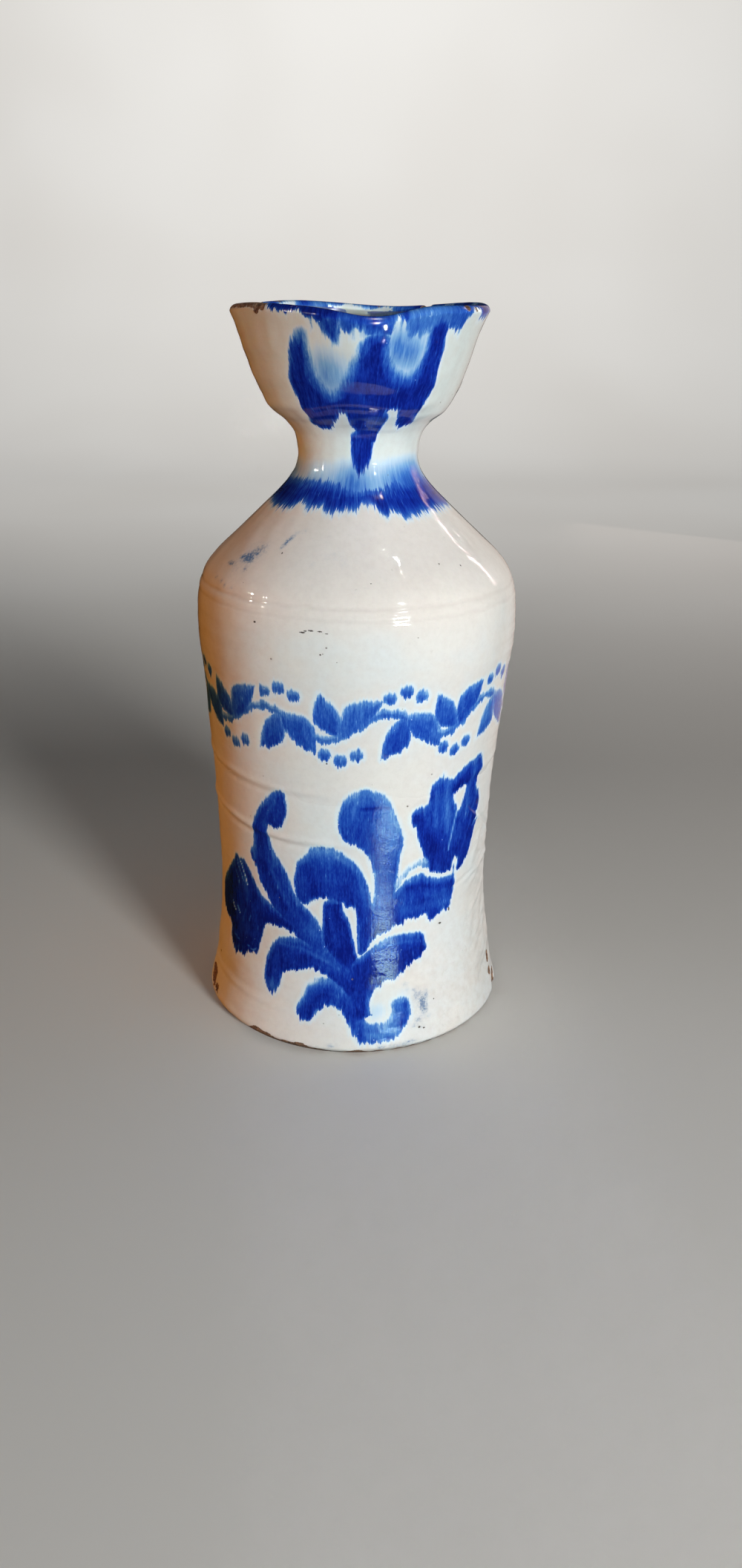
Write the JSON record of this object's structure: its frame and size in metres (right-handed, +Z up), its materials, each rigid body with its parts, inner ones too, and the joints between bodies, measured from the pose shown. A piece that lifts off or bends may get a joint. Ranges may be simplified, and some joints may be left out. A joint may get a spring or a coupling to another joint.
{
  "type": "glazed earthenware jug",
  "caption": "Tall hand-thrown earthenware jug with a tapering shoulder, narrow neck, flared pinched mouth and strap handle, for serving wine or water.",
  "frame": {"origin": "centre of the flat foot, on the table", "axes": "+Z up along the jug's axis, -Y towards the pouring lip, +Y towards the handle"},
  "size_m": [0.1212, 0.1472, 0.27],
  "materials": {
    "white_glaze": "glossy warm white tin glaze, painted in cobalt blue",
    "handle_glaze": "glossy warm white tin glaze",
    "joint_clay": "fired buff clay under the glaze"
  },
  "bodies": {
    "root": {"lower_body": "white_glaze", "shoulder": "white_glaze", "neck_and_mouth": "white_glaze", "shoulder_seam_coil": "joint_clay", "neck_seam_coil": "joint_clay", "strap_handle": "handle_glaze", "handle_top_wad": "joint_clay", "handle_bottom_wad": "joint_clay"}
  },
  "joints": []
}
